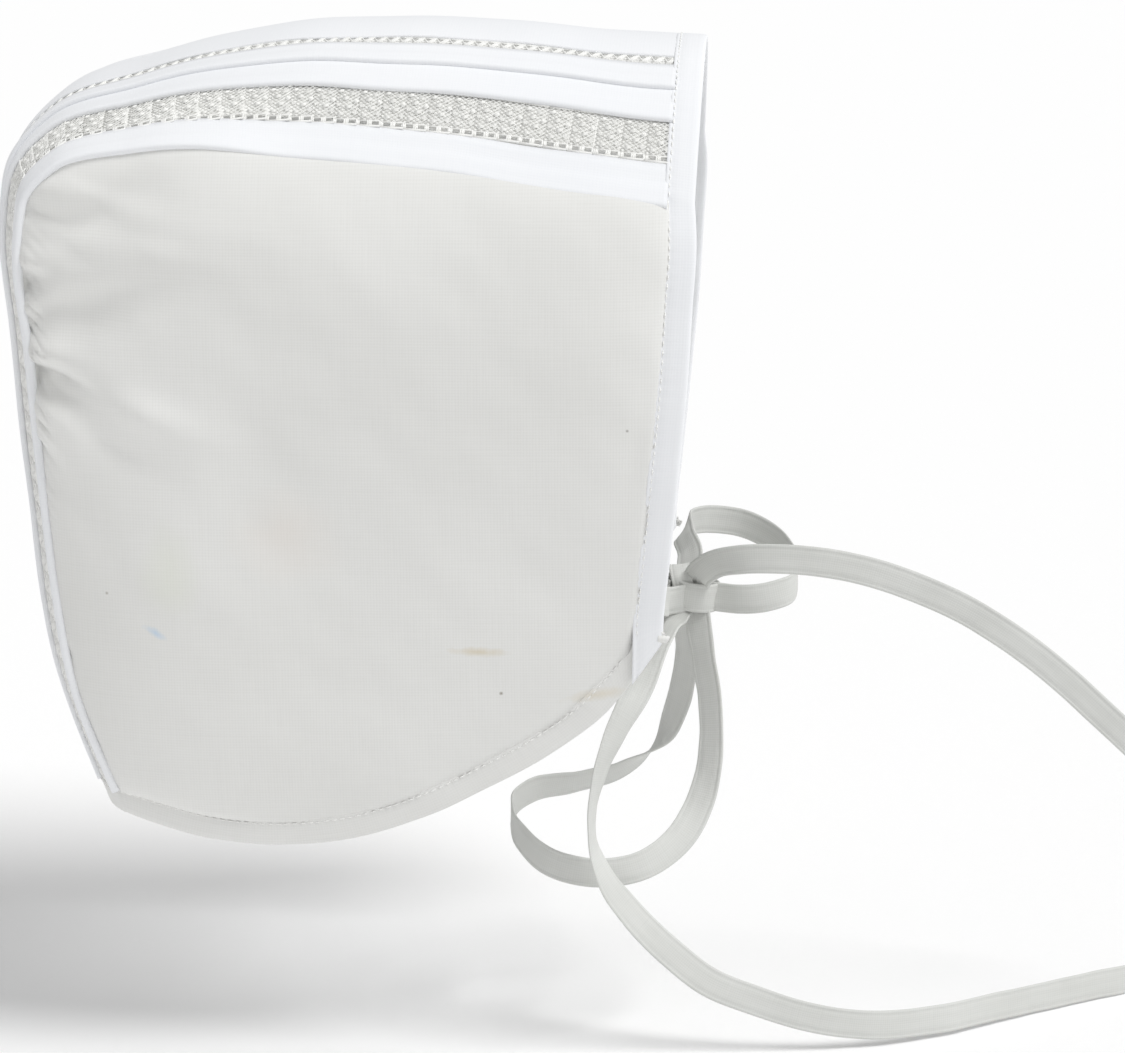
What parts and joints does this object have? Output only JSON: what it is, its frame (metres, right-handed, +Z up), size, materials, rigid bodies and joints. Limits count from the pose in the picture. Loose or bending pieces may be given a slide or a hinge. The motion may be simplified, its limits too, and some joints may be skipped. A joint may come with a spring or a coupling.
{
  "type": "baby bonnet",
  "caption": "White cotton baby bonnet with lace insertions, fine tucks, gathered side panels, folded facings and narrow tape ties in a bow.",
  "frame": {"origin": "inside of the crown in the mid-plane, where the bonnet rests on the head", "axes": "+X forward out of the face opening, +Y to the wearer's left, +Z up"},
  "size_m": [0.2491, 0.111, 0.2154],
  "materials": {
    "lawn": "matte",
    "lace": "matte",
    "tape": "matte"
  },
  "bodies": {
    "root": {"centre_band": "lawn", "tuck_band_right": "lawn", "tuck_band_left": "lawn", "outer_band_right": "lawn", "outer_band_left": "lawn", "side_panel_right": "lawn", "side_panel_left": "lawn", "front_facing": "lawn", "neck_casing": "lawn", "crown_beading_right": "lace", "crown_beading_left": "lace", "side_lace_right": "lace", "side_lace_left": "lace", "tie_right": "tape", "tie_left": "tape", "bow_knot": "tape", "bow_loop_upper": "tape", "bow_loop_lower": "tape", "tie_tail_upper": "tape", "tie_tail_lower": "tape"}
  },
  "joints": []
}
